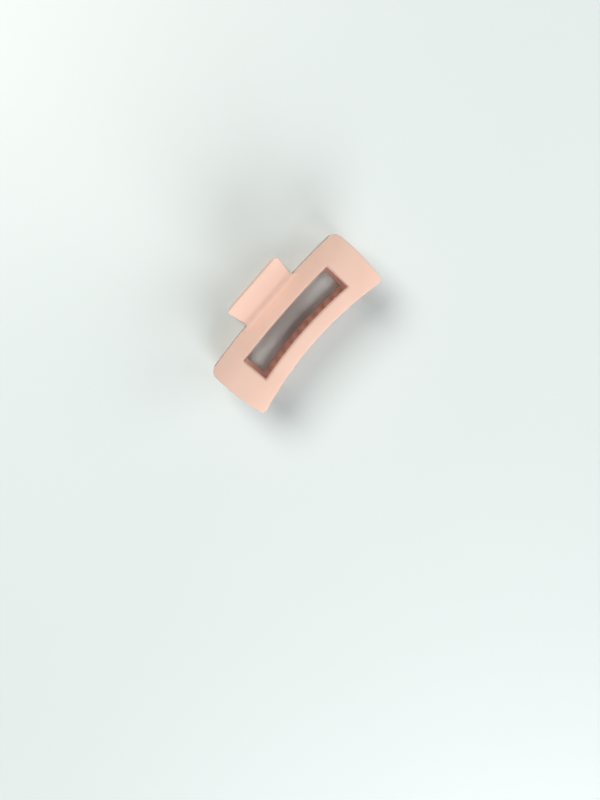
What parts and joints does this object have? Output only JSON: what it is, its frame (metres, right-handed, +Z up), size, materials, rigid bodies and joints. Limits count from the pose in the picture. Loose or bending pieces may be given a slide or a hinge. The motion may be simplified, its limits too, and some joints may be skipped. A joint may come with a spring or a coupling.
{
  "type": "claw clip",
  "caption": "Rectangular open-frame hair claw clip: two arched toothed jaws with window and finger tab, hinged on a steel pin with a torsion spring.",
  "frame": {"origin": "centre of the bounding box's underside, on the surface that the clip lies on", "axes": "+X along the hinge pin, +Y from the finger tabs towards the teeth, +Z up from the lower jaw to the upper jaw"},
  "size_m": [0.1086, 0.054, 0.0412],
  "materials": {
    "lower_plastic": "soft matte peach",
    "upper_plastic": "soft matte peach",
    "pin_steel": "satin steel",
    "spring_steel": "drawn steel wire"
  },
  "bodies": {
    "lower": {"lower_jaw": "lower_plastic", "hinge_pin": "pin_steel", "torsion_spring": "spring_steel"},
    "upper": {"upper_jaw": "upper_plastic"}
  },
  "joints": [
    {"name": "jaw_hinge", "type": "hinge", "parent": "lower", "child": "upper", "pos_m": [0, -0.01052, 0.0206], "axis": [1, 0, 0], "range_deg": [0, 50], "stiffness_Nm_per_rad": 0.17, "springref_deg": -40.11, "deforming": ["torsion_spring"]}
  ]
}
